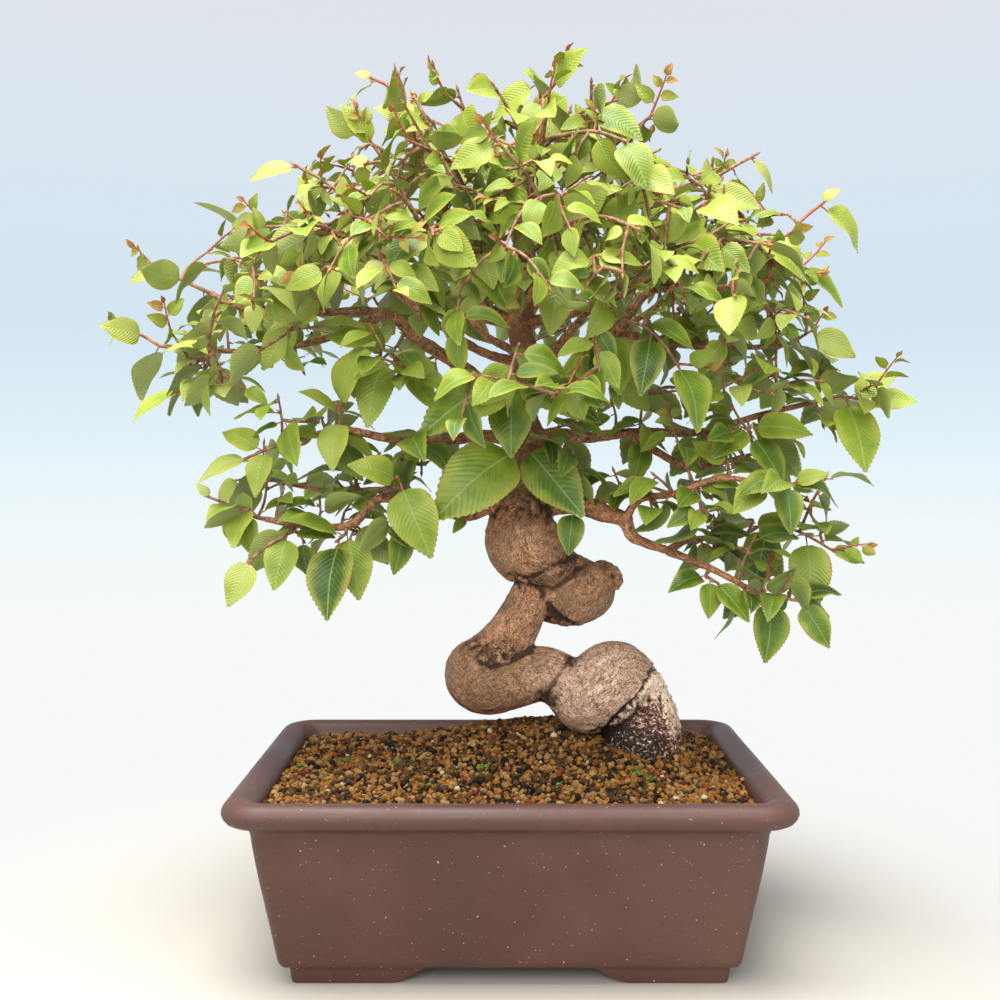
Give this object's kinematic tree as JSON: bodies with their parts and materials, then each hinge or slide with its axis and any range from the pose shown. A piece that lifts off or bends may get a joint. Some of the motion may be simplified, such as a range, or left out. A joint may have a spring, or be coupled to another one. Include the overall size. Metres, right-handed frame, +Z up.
{
  "type": "potted bonsai tree",
  "caption": "Korean hornbeam bonsai with a thick snaking trunk and a broad leafy dome, in an unglazed rectangular clay pot filled with granular soil.",
  "frame": {"origin": "middle of the whole part's box in plan, on the plane that the pot's four feet stand on", "axes": "+X along the pot's long side, -Y to the front of the tree, +Z up"},
  "size_m": [0.366, 0.2296, 0.384],
  "materials": {
    "clay": "unglazed, satin",
    "soil": "loose fired clay and stone grains",
    "bark": "smooth grey-brown bark",
    "leaf": "thin living leaf, satin above and matt below",
    "drain_mesh": "matt"
  },
  "bodies": {
    "root": {"drain_screen_left": "drain_mesh", "drain_screen_right": "drain_mesh", "pot": "clay", "soil": "soil", "spray_dome_1_1": "leaf", "spray_dome_1_2": "leaf", "spray_dome_1_3": "leaf", "spray_dome_1_4": "leaf", "spray_dome_2_1": "leaf", "spray_dome_2_2": "leaf", "spray_dome_2_3": "leaf", "spray_dome_2_4": "leaf", "spray_dome_2_5": "leaf", "spray_dome_2_6": "leaf", "spray_dome_2_7": "leaf", "spray_dome_3_1": "leaf", "spray_dome_3_10": "leaf", "spray_dome_3_11": "leaf", "spray_dome_3_2": "leaf", "spray_dome_3_3": "leaf", "spray_dome_3_4": "leaf", "spray_dome_3_5": "leaf", "spray_dome_3_6": "leaf", "spray_dome_3_7": "leaf", "spray_dome_3_8": "leaf", "spray_dome_3_9": "leaf", "spray_front_left": "leaf", "spray_front_lower": "leaf", "spray_front_right": "leaf", "spray_front_upper": "leaf", "spray_left_edge": "leaf", "spray_left_inner": "leaf", "spray_left_low_back": "leaf", "spray_left_pad_inner": "leaf", "spray_left_pad_middle": "leaf", "spray_left_pad_outer": "leaf", "spray_left_pad_tip": "leaf", "spray_left_shade": "leaf", "spray_left_shoulder": "leaf", "spray_left_skirt": "leaf", "spray_left_tip": "leaf", "spray_left_top": "leaf", "spray_left_upper": "leaf", "spray_peak": "leaf", "spray_right_centre": "leaf", "spray_right_edge": "leaf", "spray_right_middle": "leaf", "spray_right_pad_back": "leaf", "spray_right_pad_inner": "leaf", "spray_right_pad_tip": "leaf", "spray_right_pad_upper": "leaf", "spray_right_shade": "leaf", "spray_right_skirt": "leaf", "spray_right_tip": "leaf", "spray_top_left": "leaf", "spray_top_right": "leaf", "trunk": "bark"}
  },
  "joints": []
}
